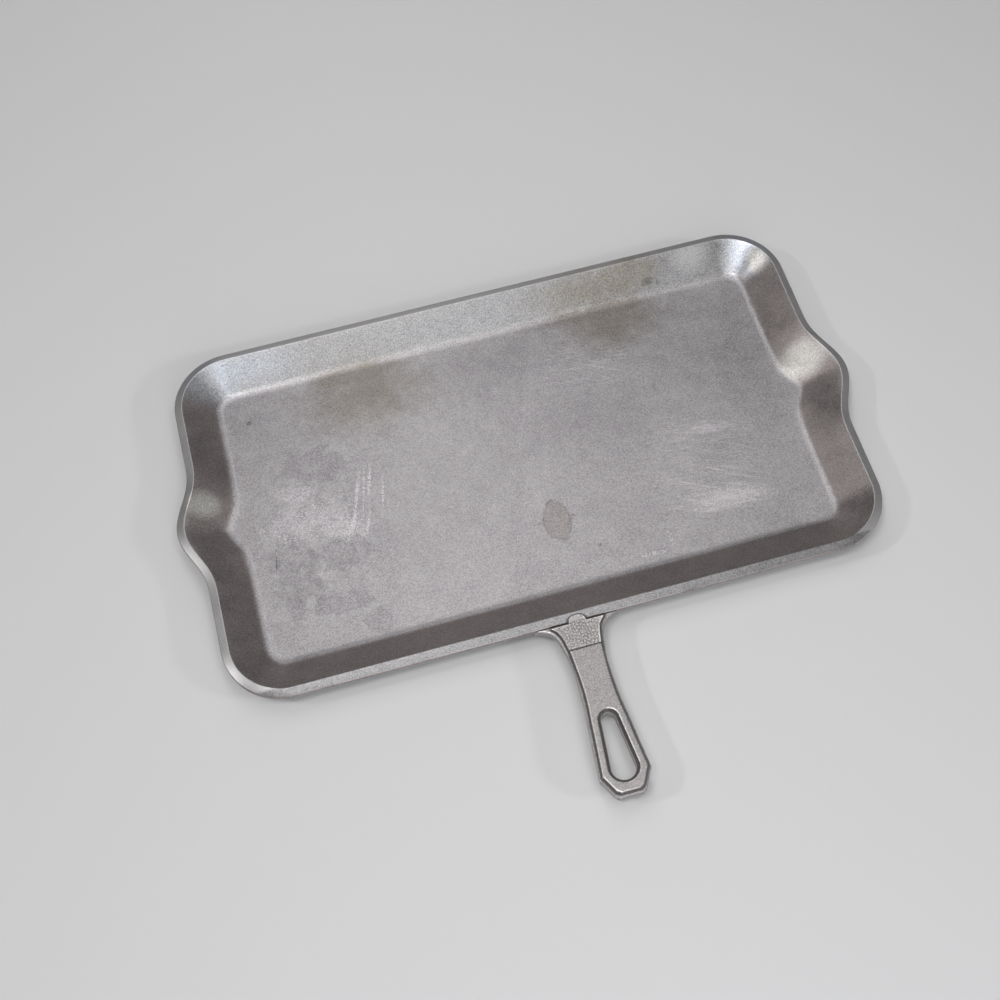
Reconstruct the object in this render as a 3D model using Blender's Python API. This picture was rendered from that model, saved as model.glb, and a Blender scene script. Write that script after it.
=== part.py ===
"""Griddle pan in cast aluminium: a shallow rectangular tray with a pour spout in each
short side, and a flat handle with a hang hole, seated in the rim of one long side.

Metres, +Z up. The origin is the centre of the tray's flat underside, +X runs along the
long side and the handle points along -Y. The tray stands on z = 0.
"""

import math

import bmesh
import bpy

MM = 0.001

# Tray, measured along the outer edge of the rim
TRAY_LENGTH = 432 * MM
TRAY_WIDTH = 255.6 * MM
CORNER_RADIUS = 39.5 * MM
CORNER_RADIUS_LEAST = 6 * MM

# Section through the tray's side
RIM_HEIGHT = 18 * MM
RIM_WIDTH = 5.4 * MM
RIM_CREST = 2 * MM
LIP_DEPTH = 4 * MM
WALL_ANGLE = math.radians(35)
WALL_THICKNESS = 4 * MM
FLOOR_THICKNESS = 4.6 * MM
FLOOR_FILLET = 18 * MM
HEEL_RADIUS = 6 * MM
LIP_ROOT_FILLET = 3 * MM
LIP_EDGE_RADIUS = 0.9 * MM
CREST_RADIUS = 0.5 * MM

# Pour spouts: a broad swell at the rim that draws in to a narrow crease at the floor
RIM_SPOUT_REACH = 13.1 * MM
RIM_SPOUT_HALF_WIDTH = 47.6 * MM
RIM_SPOUT_POWER = 1.27
FLOOR_SPOUT_REACH = 9 * MM
FLOOR_SPOUT_HALF_WIDTH = 18.5 * MM
FLOOR_SPOUT_POWER = 1.25
CREASE_SOFTNESS = 0.12

# Handle: lengths run outwards from the rim's edge, widths to each side of its middle
HANDLE_REACH = 113.7 * MM
HANDLE_ABOVE_RIM = 2.2 * MM
HANDLE_THICKNESS = 9.8 * MM
PARTING_BELOW_TOP = 2.8 * MM
ROOT_HALF_WIDTH = 27 * MM
ROOT_FLARE = (22 * MM, 2 * MM)
ROOT_FILLET_MID = (17 * MM, 5.2 * MM)
SHANK_HALF_WIDTH = 12.2 * MM
SHANK_START = 19.5 * MM
NECK_HALF_WIDTH = 11.1 * MM
NECK_PLACE = 45 * MM
SWELL_HALF_WIDTH = 13.3 * MM
SWELL_PLACE = 72 * MM
SHOULDER_HALF_WIDTH = 16 * MM
TIP_HALF_WIDTH = 8.8 * MM
TIP_CHAMFER = 13.4 * MM
TIP_ROUNDING = 1.8 * MM
FLANGE_EDGE_RADIUS = 0.9 * MM
HANDLE_OFF_MIDDLE = 1.5 * MM

# Raised face of the handle: a sloped side set in from the flange, and a tab that laps onto the rim
FLANGE_LEDGE = 0.2 * MM
FACE_DRAFT = 1.2 * MM
FACE_EDGE_RADIUS = 0.6 * MM
FACE_FROM_RIM = 1.9 * MM
PANEL_ROOT_HALF_WIDTH = 17.2 * MM
PANEL_FILLET_MID = (13.4 * MM, 5.6 * MM)
PANEL_END_HALF_WIDTH = 9.9 * MM
TAB_HALF_WIDTH = 5.5 * MM
TAB_MID = (4.2 * MM, 1.6 * MM)
TAB_REACH = 2.9 * MM

# Hang hole, a tapered slot with its wide end at the tip
HOLE_LENGTH = 46.5 * MM
HOLE_NARROW_RADIUS = 6.9 * MM
HOLE_WIDE_RADIUS = 9.9 * MM
HOLE_END_MARGIN = 5.1 * MM
HOLE_DRAFT = 1.8 * MM
HOLE_LEDGE = 0.4 * MM

# Cross groove that ends the textured panel, and the gap all round the handle's seat
PANEL_LENGTH = 18.7 * MM
GROOVE_WIDTH = 1.2 * MM
GROOVE_DEPTH = 0.7 * MM
SEAT_CLEARANCE = 0.3 * MM

# How far a cutter runs past the surface that it cuts, and a joined solid into the other
CUT_OVERLAP = 2 * MM

# Steps along round stretches
CORNER_STEPS = 8
SPOUT_STEPS = 12
SPOUT_CROWDING = 1.4
SECTION_ARC_STEPS = 3
OUTLINE_RESOLUTION = 6
HOLE_ARC_STEPS = 10
SHARP_ANGLE = math.radians(32)

# Heights and places that follow from the sizes above
CREST_HEIGHT = RIM_HEIGHT + RIM_CREST
LIP_HEIGHT = RIM_HEIGHT - LIP_DEPTH
WALL_RUN = 1 / math.tan(WALL_ANGLE)
FLOOR_INSET = RIM_WIDTH + (CREST_HEIGHT - FLOOR_THICKNESS) * WALL_RUN
FLAT_INSET = FLOOR_INSET + FLOOR_FILLET * math.tan(WALL_ANGLE / 2)
HANDLE_TOP = RIM_HEIGHT + HANDLE_ABOVE_RIM
HANDLE_BOTTOM = HANDLE_TOP - HANDLE_THICKNESS
PARTING_HEIGHT = HANDLE_TOP - PARTING_BELOW_TOP
FACE_FOOT_INSET = FLANGE_EDGE_RADIUS + FLANGE_LEDGE
FACE_INSET = FACE_FOOT_INSET + FACE_DRAFT
RIM_EDGE_Y = -TRAY_WIDTH / 2
UNDER_RIM = FLOOR_INSET / 2
SHOULDER_PLACE = HANDLE_REACH - TIP_CHAMFER


def clear_scene():
    for old in list(bpy.data.objects):
        bpy.data.objects.remove(old)


def collection(name):
    made = bpy.data.collections.new(name)
    bpy.context.scene.collection.children.link(made)
    return made


def place(obj, group):
    """Puts the object in one collection only."""
    for old in list(obj.users_collection):
        old.objects.unlink(obj)
    group.objects.link(obj)
    return obj


def guide(obj, group):
    """A cutter, or a solid that is joined to another: shown as wire and never rendered."""
    place(obj, group)
    obj.display_type = 'WIRE'
    obj.hide_render = True
    return obj


def cast_metal(name, colour, roughness):
    made = bpy.data.materials.new(name)
    made.use_nodes = True
    shader = made.node_tree.nodes['Principled BSDF']
    shader.inputs['Base Color'].default_value = (*colour, 1)
    shader.inputs['Metallic'].default_value = 1
    shader.inputs['Roughness'].default_value = roughness
    return made


def rounded(corners, steps):
    """A polyline whose inner corners are arcs. corners lists (x, y, radius)."""
    points = [corners[0][:2]]
    for before, corner, after in zip(corners, corners[1:], corners[2:]):
        x, y, radius = corner
        if radius == 0:
            points.append((x, y))
            continue
        to_before = math.atan2(before[1] - y, before[0] - x)
        to_after = math.atan2(after[1] - y, after[0] - x)
        turn = (to_after - to_before + math.pi) % (2 * math.pi) - math.pi
        half = abs(turn) / 2
        middle = to_before + turn / 2
        centre_x = x + radius / math.sin(half) * math.cos(middle)
        centre_y = y + radius / math.sin(half) * math.sin(middle)
        sweep = math.pi - 2 * half
        for k in range(steps + 1):
            share = sweep * (k / steps - 0.5)
            angle = middle + math.pi - share * math.copysign(1, turn)
            points.append((centre_x + radius * math.cos(angle),
                           centre_y + radius * math.sin(angle)))
    points.append(corners[-1][:2])
    return points


def spout_swell(y, depth):
    """How far a short side swells outwards at y. depth is 0 at the rim and 1 at the floor."""
    at_rim = 0
    if abs(y) < RIM_SPOUT_HALF_WIDTH:
        wave = 0.5 + 0.5 * math.cos(math.pi * y / RIM_SPOUT_HALF_WIDTH)
        at_rim = RIM_SPOUT_REACH * wave ** RIM_SPOUT_POWER
    at_floor = 0
    if abs(y) < FLOOR_SPOUT_HALF_WIDTH:
        across = math.hypot(y / FLOOR_SPOUT_HALF_WIDTH, CREASE_SOFTNESS) - CREASE_SOFTNESS
        tent = 1 - across / (math.hypot(1, CREASE_SOFTNESS) - CREASE_SOFTNESS)
        at_floor = FLOOR_SPOUT_REACH * max(tent, 0) ** FLOOR_SPOUT_POWER
    return at_rim + (at_floor - at_rim) * depth


def tray_outline(inset):
    """The tray's outline seen from above, drawn in by inset from the rim's outer edge."""
    half_length = TRAY_LENGTH / 2 - inset
    half_width = TRAY_WIDTH / 2 - inset
    radius = max(CORNER_RADIUS - inset, CORNER_RADIUS_LEAST)
    depth = min(max((inset - RIM_WIDTH) / (FLAT_INSET - RIM_WIDTH), 0), 1)
    side = []
    for k in range(-SPOUT_STEPS, SPOUT_STEPS + 1):
        share = k / SPOUT_STEPS
        y = math.copysign(RIM_SPOUT_HALF_WIDTH * abs(share) ** SPOUT_CROWDING, share)
        side.append((half_length + spout_swell(y, depth), y))
    corner = []
    for k in range(CORNER_STEPS + 1):
        angle = math.pi / 2 * k / CORNER_STEPS
        corner.append((half_length - radius + radius * math.cos(angle),
                       half_width - radius + radius * math.sin(angle)))
    right = side + corner
    left = [(-x, y) for x, y in reversed(corner)] + [(-x, y) for x, y in reversed(side)]
    lower_left = [(-x, -y) for x, y in corner]
    lower_right = [(x, -y) for x, y in reversed(corner)]
    return right + left + lower_left + lower_right


def loft(name, sections):
    """Skins a closed solid over sections, each a list of points with the same count."""
    work = bmesh.new()
    rings = [[work.verts.new(point) for point in section] for section in sections]
    for low, high in zip(rings, rings[1:]):
        for k in range(len(low)):
            after = (k + 1) % len(low)
            work.faces.new((low[k], low[after], high[after], high[k]))
    work.faces.new(list(reversed(rings[0])))
    work.faces.new(rings[-1])
    mesh = bpy.data.meshes.new(name)
    work.to_mesh(mesh)
    work.free()
    obj = bpy.data.objects.new(name, mesh)
    bpy.context.scene.collection.objects.link(obj)
    return obj


def tray_loft(name, side_section):
    """A solid from the section through the tray's side, carried round its outlines."""
    return loft(name, [[(x, y, z) for x, y in tray_outline(inset)] for inset, z in side_section])


def outer_section(grow):
    """Corners of the tray's outer side, bottom first, moved outwards by grow."""
    wall_shift = (WALL_THICKNESS + grow) / math.sin(WALL_ANGLE)
    heel_inset = RIM_WIDTH + (CREST_HEIGHT + grow) * WALL_RUN - wall_shift
    lip_inset = RIM_WIDTH + (CREST_HEIGHT - LIP_HEIGHT + grow) * WALL_RUN - wall_shift
    return [
        (FLAT_INSET, -grow, 0),
        (heel_inset, -grow, HEEL_RADIUS),
        (lip_inset, LIP_HEIGHT - grow, LIP_ROOT_FILLET),
        (-grow, LIP_HEIGHT - grow, LIP_EDGE_RADIUS),
    ]


def boolean(obj, other, operation):
    cut = obj.modifiers.new(operation.lower() + '_' + other.name, 'BOOLEAN')
    cut.operation = operation
    cut.solver = 'EXACT'
    cut.object = other


def shade_round(obj):
    obj.data.shade_smooth()
    obj.data.set_sharp_from_angle(angle=SHARP_ANGLE)


def make_pan(parts):
    """The cast tray: a sloped rim, straight walls and a flat floor with a wide fillet."""
    section = rounded(outer_section(0) + [
        (0, RIM_HEIGHT, LIP_EDGE_RADIUS),
        (RIM_WIDTH, CREST_HEIGHT, CREST_RADIUS),
        (FLOOR_INSET, FLOOR_THICKNESS, FLOOR_FILLET),
        (FLAT_INSET + CORNER_RADIUS_LEAST, FLOOR_THICKNESS, 0),
    ], SECTION_ARC_STEPS)
    section.pop()
    pan = place(tray_loft('pan', section), parts)
    shade_round(pan)
    pan.data.materials.append(cast_metal('satin_cast_aluminium', (0.5, 0.49, 0.48), 0.42))
    return pan


def along_curve(outline):
    """Points along a closed flat curve. Each corner is (x, distance from the rim, handle type)."""
    data = bpy.data.curves.new('outline', 'CURVE')
    data.dimensions = '2D'
    data.fill_mode = 'NONE'
    data.resolution_u = OUTLINE_RESOLUTION
    spline = data.splines.new('BEZIER')
    spline.bezier_points.add(len(outline) - 1)
    spline.use_cyclic_u = True
    for point, (x, out, kind) in zip(spline.bezier_points, outline):
        point.co = (HANDLE_OFF_MIDDLE + x, RIM_EDGE_Y - out, 0)
        point.handle_left_type = kind
        point.handle_right_type = kind
    drawn = bpy.data.objects.new('outline', data)
    bpy.context.scene.collection.objects.link(drawn)
    bpy.context.view_layer.update()
    mesh = bpy.data.meshes.new_from_object(
        drawn.evaluated_get(bpy.context.evaluated_depsgraph_get()))
    points = [(vertex.co.x, vertex.co.y) for vertex in mesh.vertices]
    bpy.data.objects.remove(drawn)
    return list(reversed(points))


def plate(name, outline_at, side_section):
    """A solid from the section through its side, carried round an outline for each inset."""
    return loft(name, [[(x, y, z) for x, y in along_curve(outline_at(inset))]
                       for inset, z in side_section])


def mirrored(right):
    """A closed outline from its right half, listed from the root to the tip."""
    return right + [(-x, out, kind) for x, out, kind in reversed(right) if x > 0]


def shank(inset):
    """The handle's right side from the root fillet to the tip, drawn in by inset."""
    chamfer_angle = math.atan2(SHOULDER_HALF_WIDTH - TIP_HALF_WIDTH, TIP_CHAMFER)
    shoulder_back = inset * math.tan(chamfer_angle / 2)
    tip_in = inset * math.tan((math.pi / 2 - chamfer_angle) / 2)
    shoulder = (SHOULDER_HALF_WIDTH - inset, SHOULDER_PLACE - shoulder_back)
    tip = (TIP_HALF_WIDTH - tip_in, HANDLE_REACH - inset)
    back = TIP_ROUNDING / math.dist(shoulder, tip)
    on_chamfer = [t + (s - t) * back for s, t in zip(shoulder, tip)]
    return [
        (SHANK_HALF_WIDTH - inset, SHANK_START, 'AUTO'),
        (NECK_HALF_WIDTH - inset, NECK_PLACE, 'AUTO'),
        (SWELL_HALF_WIDTH - inset, SWELL_PLACE, 'AUTO'),
        (*shoulder, 'VECTOR'),
        (*on_chamfer, 'VECTOR'),
        (tip[0] - TIP_ROUNDING, tip[1], 'VECTOR'),
    ]


def flange_outline(inset):
    slanted = inset / math.sqrt(2)
    return mirrored([
        (ROOT_HALF_WIDTH, -UNDER_RIM, 'VECTOR'),
        (ROOT_HALF_WIDTH, -inset, 'VECTOR'),
        *[(x - slanted, out - slanted, 'AUTO') for x, out in (ROOT_FLARE, ROOT_FILLET_MID)],
        *shank(inset),
    ])


def face_outline(inset):
    """The raised face's outline. The panel and its tab are given at the top, where inset ends."""
    fillet_x, fillet_out = PANEL_FILLET_MID
    tab_x, tab_in = TAB_MID
    wider = FACE_INSET - inset
    slanted = wider / math.sqrt(2)
    return mirrored([
        (0, -TAB_REACH - wider, 'AUTO'),
        (tab_x + slanted, -tab_in - slanted, 'AUTO'),
        (TAB_HALF_WIDTH + wider, FACE_FROM_RIM - wider, 'VECTOR'),
        (PANEL_ROOT_HALF_WIDTH + wider, FACE_FROM_RIM - wider, 'VECTOR'),
        (fillet_x + slanted, fillet_out + slanted, 'AUTO'),
        (PANEL_END_HALF_WIDTH + wider, PANEL_LENGTH, 'VECTOR'),
        *shank(inset),
    ])


def hole_section(inset, z):
    """The hang hole's outline at one height: two arcs and the tangents between them."""
    wide_y = RIM_EDGE_Y - (HANDLE_REACH - FACE_INSET - HOLE_END_MARGIN - HOLE_WIDE_RADIUS)
    spread = HOLE_LENGTH - HOLE_WIDE_RADIUS - HOLE_NARROW_RADIUS
    lean = math.asin((HOLE_WIDE_RADIUS - HOLE_NARROW_RADIUS) / spread)
    points = []
    for k in range(HOLE_ARC_STEPS + 1):
        angle = -lean + (math.pi + 2 * lean) * k / HOLE_ARC_STEPS
        radius = HOLE_NARROW_RADIUS - inset
        points.append((HANDLE_OFF_MIDDLE + radius * math.cos(angle),
                       wide_y + spread + radius * math.sin(angle), z))
    for k in range(HOLE_ARC_STEPS + 1):
        angle = math.pi + lean + (math.pi - 2 * lean) * k / HOLE_ARC_STEPS
        radius = HOLE_WIDE_RADIUS - inset
        points.append((HANDLE_OFF_MIDDLE + radius * math.cos(angle),
                       wide_y + radius * math.sin(angle), z))
    return points


def make_handle(parts, guides):
    """A flange with a narrower raised face on it, cut to seat under and against the rim."""
    handle = place(plate('handle', flange_outline, rounded([
        (FLANGE_EDGE_RADIUS, HANDLE_BOTTOM, 0),
        (0, HANDLE_BOTTOM, FLANGE_EDGE_RADIUS),
        (0, PARTING_HEIGHT, FLANGE_EDGE_RADIUS),
        (FLANGE_EDGE_RADIUS, PARTING_HEIGHT, 0),
    ], SECTION_ARC_STEPS)[1:-1]), parts)
    face = plate('raised_face', face_outline, rounded([
        (FACE_FOOT_INSET, PARTING_HEIGHT - CUT_OVERLAP, 0),
        (FACE_FOOT_INSET, PARTING_HEIGHT, 0),
        (FACE_INSET, HANDLE_TOP, FACE_EDGE_RADIUS),
        (FACE_INSET + CUT_OVERLAP, HANDLE_TOP, 0),
    ], SECTION_ARC_STEPS)[:-1])
    boolean(handle, guide(face, guides), 'UNION')

    hole = loft('hang_hole', [
        hole_section(HOLE_DRAFT + HOLE_LEDGE, HANDLE_BOTTOM - CUT_OVERLAP),
        hole_section(HOLE_DRAFT + HOLE_LEDGE, PARTING_HEIGHT),
        hole_section(HOLE_DRAFT, PARTING_HEIGHT),
        hole_section(0, HANDLE_TOP),
        hole_section(0, HANDLE_TOP + CUT_OVERLAP),
    ])
    boolean(handle, guide(hole, guides), 'DIFFERENCE')

    bpy.ops.mesh.primitive_cylinder_add(
        vertices=4, radius=1, depth=4 * PANEL_ROOT_HALF_WIDTH,
        location=(HANDLE_OFF_MIDDLE, RIM_EDGE_Y - PANEL_LENGTH, HANDLE_TOP),
        rotation=(0, math.pi / 2, 0))
    groove = bpy.context.object
    groove.name = 'panel_groove'
    groove.scale = (GROOVE_DEPTH, GROOVE_WIDTH / 2, 1)
    boolean(handle, guide(groove, guides), 'DIFFERENCE')

    slope = RIM_CREST / RIM_WIDTH
    over_rim = SEAT_CLEARANCE * math.hypot(1, slope)
    seat_section = rounded(outer_section(SEAT_CLEARANCE) + [
        (-SEAT_CLEARANCE, RIM_HEIGHT - SEAT_CLEARANCE * slope + over_rim, LIP_EDGE_RADIUS),
        (RIM_WIDTH, CREST_HEIGHT + over_rim, 0),
    ], SECTION_ARC_STEPS)
    boolean(handle, guide(tray_loft('rim_seat', seat_section), guides), 'DIFFERENCE')
    shade_round(handle)
    handle.data.materials.append(cast_metal('sand_cast_aluminium', (0.52, 0.51, 0.5), 0.5))
    return handle


clear_scene()
griddle_parts = collection('griddle_pan')
griddle_guides = collection('cutters')
make_pan(griddle_parts)
make_handle(griddle_parts, griddle_guides)
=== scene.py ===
import math

import bmesh
import bpy
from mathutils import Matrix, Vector


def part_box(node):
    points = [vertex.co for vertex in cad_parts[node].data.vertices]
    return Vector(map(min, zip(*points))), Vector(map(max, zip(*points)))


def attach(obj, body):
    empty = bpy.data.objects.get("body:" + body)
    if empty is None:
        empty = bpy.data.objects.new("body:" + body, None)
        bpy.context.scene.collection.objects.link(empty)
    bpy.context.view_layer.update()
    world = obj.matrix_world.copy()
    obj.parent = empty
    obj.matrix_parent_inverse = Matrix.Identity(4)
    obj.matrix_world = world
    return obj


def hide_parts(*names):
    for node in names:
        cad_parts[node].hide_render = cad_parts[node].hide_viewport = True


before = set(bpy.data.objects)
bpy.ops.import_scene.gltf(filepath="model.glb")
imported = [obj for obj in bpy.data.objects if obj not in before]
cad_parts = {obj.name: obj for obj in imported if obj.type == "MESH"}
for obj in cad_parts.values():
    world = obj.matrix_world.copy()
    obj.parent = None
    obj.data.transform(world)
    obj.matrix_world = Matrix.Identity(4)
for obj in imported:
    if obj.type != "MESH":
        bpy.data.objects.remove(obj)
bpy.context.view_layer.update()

# The tray
# A shallow rectangular pan, sand cast in aluminium in one pour: a flat floor, straight walls
# that lean out, a sloped rim, and a pour spout swelling out of the middle of each short side.
MM = 0.001
_, tray_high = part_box("pan")

RIM_WIDTH = 5.4 * MM
RIM_CREST = 2 * MM
LIP_DEPTH = 4 * MM
WALL_ANGLE = math.radians(35)
WALL_THICKNESS = 4 * MM
FLOOR_THICKNESS = 4.6 * MM
FLOOR_FILLET = 12 * MM
HEEL_RADIUS = 6 * MM
LIP_ROOT_FILLET = 3 * MM
LIP_EDGE_RADIUS = 0.9 * MM
CREST_RADIUS = 0.9 * MM
CORNER_RADIUS = 39.5 * MM
CORNER_STEPS = 40
SPOUT_REACH = 13.1 * MM
SPOUT_HALF_WIDTH = 47.6 * MM
SPOUT_POWER = 1.27
CREASE_REACH = 9 * MM
CREASE_HALF_WIDTH = 18.5 * MM
CREASE_POWER = 1.25
CREASE_SOFTNESS = 0.12
POINTS_AROUND = 900
LONGEST_STEP = 3 * MM
ARC_STEPS = 7
FLOOR_RINGS = 12
WELD = 0.01 * MM
WAVINESS = 0.2 * MM
WAVE_LENGTH = 60 * MM
WORN_EDGE_INSET = 0.17 * MM
WORN_EDGE_DROP = 0.1 * MM
WEAR_WIDTH = 0.5 * MM

CREST_HEIGHT = tray_high.z
RIM_HEIGHT = CREST_HEIGHT - RIM_CREST
LIP_HEIGHT = RIM_HEIGHT - LIP_DEPTH
HALF_LENGTH = tray_high.x - SPOUT_REACH
HALF_WIDTH = tray_high.y
WALL_RUN = 1 / math.tan(WALL_ANGLE)
FLOOR_INSET = RIM_WIDTH + (CREST_HEIGHT - FLOOR_THICKNESS) * WALL_RUN
FLAT_INSET = FLOOR_INSET + FLOOR_FILLET * math.tan(WALL_ANGLE / 2)


def rounded(corners, steps):
    """A polyline whose inner corners are arcs. corners lists (x, y, radius)."""
    points = [corners[0][:2]]
    for before, corner, after in zip(corners, corners[1:], corners[2:]):
        x, y, radius = corner
        to_before = math.atan2(before[1] - y, before[0] - x)
        to_after = math.atan2(after[1] - y, after[0] - x)
        turn = (to_after - to_before + math.pi) % (2 * math.pi) - math.pi
        half = abs(turn) / 2
        middle = to_before + turn / 2
        centre_x = x + radius / math.sin(half) * math.cos(middle)
        centre_y = y + radius / math.sin(half) * math.sin(middle)
        sweep = math.pi - 2 * half
        for k in range(steps + 1):
            share = sweep * (k / steps - 0.5)
            angle = middle + math.pi - share * math.copysign(1, turn)
            points.append((centre_x + radius * math.cos(angle),
                           centre_y + radius * math.sin(angle)))
    points.append(corners[-1][:2])
    return points


def filled_in(points, longest):
    """The polyline with points added, so that no step is longer than longest."""
    made = [points[0]]
    for start, end in zip(points, points[1:]):
        steps = max(1, math.ceil(math.dist(start, end) / longest))
        for k in range(1, steps + 1):
            share = k / steps
            made.append(tuple(a + (b - a) * share for a, b in zip(start, end)))
    return made


def tray_section():
    """The tray's section from the middle of its underside round the rim to the middle of its
    floor. Each point is (inset from the rim's edge, share drawn in to the middle, height)."""
    wall_shift = WALL_THICKNESS / math.sin(WALL_ANGLE)
    side = rounded([
        (FLAT_INSET, 0, 0),
        (RIM_WIDTH + CREST_HEIGHT * WALL_RUN - wall_shift, 0, HEEL_RADIUS),
        (RIM_WIDTH + (CREST_HEIGHT - LIP_HEIGHT) * WALL_RUN - wall_shift, LIP_HEIGHT,
         LIP_ROOT_FILLET),
        (0, LIP_HEIGHT, LIP_EDGE_RADIUS),
        (0, RIM_HEIGHT, LIP_EDGE_RADIUS),
        (RIM_WIDTH, CREST_HEIGHT, CREST_RADIUS),
        (FLOOR_INSET, FLOOR_THICKNESS, FLOOR_FILLET),
        (FLAT_INSET + LONGEST_STEP, FLOOR_THICKNESS, 0),
    ], ARC_STEPS)[:-1]
    section = [(inset, 0, height) for inset, height in filled_in(side, LONGEST_STEP)]
    rings = [(k + 1) / FLOOR_RINGS for k in range(FLOOR_RINGS)]
    under = [(FLAT_INSET, share, 0) for share in reversed(rings)]
    over = [(FLAT_INSET, share, FLOOR_THICKNESS) for share in rings]
    return under + section + over


def feed(tree, socket, source):
    """Links a node's input to a socket or a node's first output, or sets its value."""
    if isinstance(source, bpy.types.Node):
        source = source.outputs[0]
    if isinstance(source, bpy.types.NodeSocket):
        tree.links.new(source, socket)
    else:
        socket.default_value = source


def add(tree, kind, sources=None, **settings):
    """A new node with its settings, its inputs fed by name or number."""
    made = tree.nodes.new(kind)
    for name, value in settings.items():
        setattr(made, name, value)
    for name, source in (sources or {}).items():
        feed(tree, made.inputs[name], source)
    return made


def maths(tree, operation, *sources, clamp=False):
    return add(tree, "ShaderNodeMath", dict(enumerate(sources)),
               operation=operation, use_clamp=clamp).outputs[0]


def vectors(tree, operation, *sources):
    """A vector sum. For SCALE, the factor is the second source."""
    made = add(tree, "ShaderNodeVectorMath", operation=operation)
    slots = [0, "Scale"] if operation == "SCALE" else [0, 1, 2]
    for slot, source in zip(slots, sources):
        feed(tree, made.inputs[slot], source)
    return made.outputs[0]


def fade(tree, value, zero_at, one_at):
    """A smooth step from 0 to 1, as the value goes from one bound to the other."""
    return add(tree, "ShaderNodeMapRange", {
        "Value": value, "From Min": zero_at, "From Max": one_at,
    }, interpolation_type="SMOOTHSTEP").outputs[0]


def stored(tree, geometry, name, value):
    """The geometry with a number kept on each of its points."""
    return add(tree, "GeometryNodeStoreNamedAttribute", {
        "Geometry": geometry, "Name": name, "Value": value,
    }, data_type="FLOAT", domain="POINT").outputs[0]


def geometry_tree(name, inputs):
    """A Geometry Nodes tree with the named inputs, and its input and output nodes."""
    tree = bpy.data.node_groups.new(name, "GeometryNodeTree")
    tree.interface.new_socket("Geometry", in_out="OUTPUT", socket_type="NodeSocketGeometry")
    for label, kind in inputs.items():
        tree.interface.new_socket(label, in_out="INPUT", socket_type="NodeSocket" + kind)
    return tree, tree.nodes.new("NodeGroupInput").outputs, tree.nodes.new("NodeGroupOutput")


def new_object(name, mesh):
    made = bpy.data.objects.new(name, mesh)
    bpy.context.scene.collection.objects.link(made)
    return made


def grown(host, tree, values):
    """Runs a tree on an object, with values for its named inputs, and keeps the result as a
    plain mesh in one material."""
    modifier = host.modifiers.new(tree.name, "NODES")
    modifier.node_group = tree
    for item in tree.interface.items_tree:
        if item.in_out == "INPUT" and item.name != "Geometry":
            modifier[item.identifier] = values[item.name]
    bpy.context.view_layer.update()
    seen = host.evaluated_get(bpy.context.evaluated_depsgraph_get())
    mesh = bpy.data.meshes.new_from_object(seen)
    mesh.materials.clear()
    mesh.materials.append(values["Material"])
    mesh.polygons.foreach_set("material_index", [0] * len(mesh.polygons))
    host.modifiers.clear()
    host.data = mesh
    return host


def finish_tree(tree, geometry, material, result):
    """Ends a tree: smooth shading, real geometry in place of instances, and one material."""
    shape = add(tree, "GeometryNodeSetShadeSmooth", {"Geometry": geometry})
    shape = add(tree, "GeometryNodeRealizeInstances", {"Geometry": shape})
    shape = add(tree, "GeometryNodeSetMaterial", {"Geometry": shape, "Material": material})
    tree.links.new(shape.outputs[0], result.inputs[0])


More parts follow.
